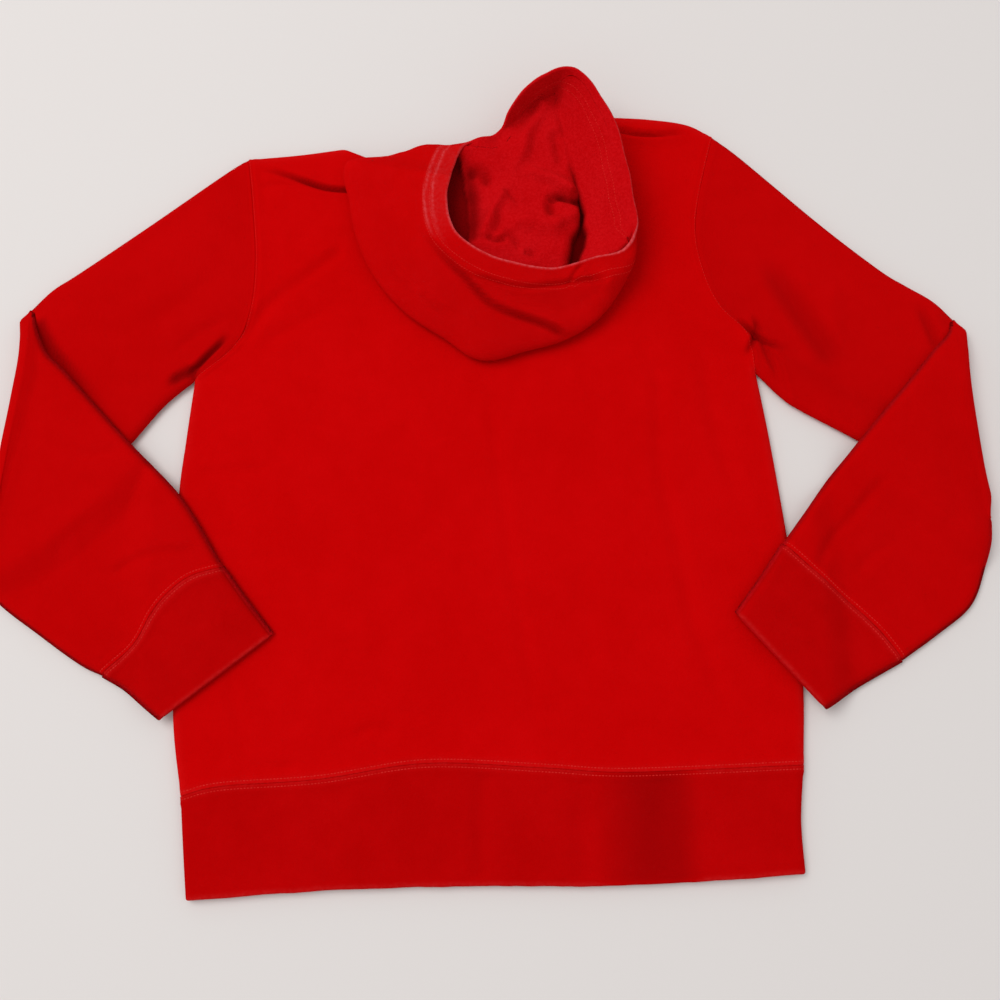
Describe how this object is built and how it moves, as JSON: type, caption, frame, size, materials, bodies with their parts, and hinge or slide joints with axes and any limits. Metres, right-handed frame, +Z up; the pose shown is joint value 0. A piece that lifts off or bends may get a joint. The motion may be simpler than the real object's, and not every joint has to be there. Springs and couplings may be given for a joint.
{
  "type": "hoodie",
  "caption": "Child's pullover hoodie in fleece, laid flat on its front with the back up, forearms folded over onto the back and the hood lying open.",
  "frame": {"origin": "centre of the garment's bounding box, on the surface that it lies on", "axes": "+X across the body towards the wearer's right sleeve, +Y from the hem towards the hood, +Z up, out of the back"},
  "size_m": [0.7512, 0.6232, 0.0551],
  "materials": {
    "fleece": "matt red cotton fleece",
    "band": "matt red doubled knit",
    "hood": "matt red cotton fleece, a little worn"
  },
  "bodies": {
    "root": {"back": "fleece", "front": "fleece", "hem_band": "band", "sleeve_left": "fleece", "cuff_left": "band", "sleeve_right": "fleece", "cuff_right": "band", "hood_left": "hood", "hood_right": "hood"}
  },
  "joints": []
}
